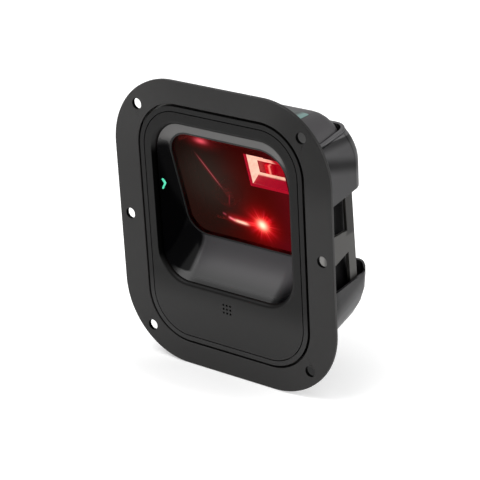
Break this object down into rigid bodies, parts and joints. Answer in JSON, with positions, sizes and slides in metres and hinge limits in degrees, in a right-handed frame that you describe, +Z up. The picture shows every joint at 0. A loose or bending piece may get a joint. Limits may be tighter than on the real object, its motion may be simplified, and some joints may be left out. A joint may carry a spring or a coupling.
{
  "type": "flush-mount presentation barcode scanner",
  "caption": "Hands-free scanner head with a scooped recess and a leaning red window, held by a windowed cradle and saddles behind a round-cornered mounting flange.",
  "frame": {"origin": "centre of the flange's corner screw pattern, on the flange's front face", "axes": "+Y back through the flange into the counter, +Z up the face, +X to the right as seen from the front"},
  "size_m": [0.1316, 0.0499, 0.15],
  "materials": {
    "flange_paint": "fine matt powder coat",
    "steel": "plain",
    "black_steel": "black oxide",
    "cradle_plastic": "satin",
    "saddle_plastic": "satin",
    "face_plastic": "fine texture",
    "shell_plastic": "satin",
    "recess_plastic": "gloss, satin in the scoop",
    "seal_rubber": "matt",
    "red_window": "clear, dark red",
    "green_guide": "frosted, lit green",
    "clear_guide": "clear",
    "lens_glass": "coated",
    "chassis_plastic": "satin",
    "reflector_metal": "metallised",
    "red_led": "lit red",
    "circuit_board": "solder mask",
    "chip": "moulded",
    "ribbon": "polyimide"
  },
  "bodies": {
    "root": {"flange_plate": "flange_paint", "flange_studs": "steel", "stud_nuts": "steel", "cradle_frame": "cradle_plastic", "upper_saddle": "saddle_plastic", "lower_saddle": "saddle_plastic", "saddle_screws": "black_steel", "front_shell": "face_plastic", "housing_seal": "seal_rubber", "rear_shell": "shell_plastic", "housing_screws": "black_steel", "top_light": "green_guide", "top_led_board": "circuit_board", "face_cover": "face_plastic", "recess_liner": "recess_plastic", "window_gasket": "seal_rubber", "scan_window": "red_window", "status_light": "green_guide", "status_led_board": "circuit_board", "optics_chassis": "chassis_plastic", "chassis_screws": "steel", "led_reflector": "reflector_metal", "illumination_led": "red_led", "illumination_board": "circuit_board", "lens_barrel": "chassis_plastic", "front_lens": "lens_glass", "image_sensor": "chip", "imager_board": "circuit_board", "aimer_led": "red_led", "light_pipe": "clear_guide", "upper_led_board": "circuit_board", "upper_leds": "red_led", "main_board": "circuit_board", "board_chips": "chip", "board_screws": "steel", "ribbon_cable": "ribbon", "beeper": "chip", "beeper_mesh": "seal_rubber", "cable_socket": "chip"}
  },
  "joints": []
}
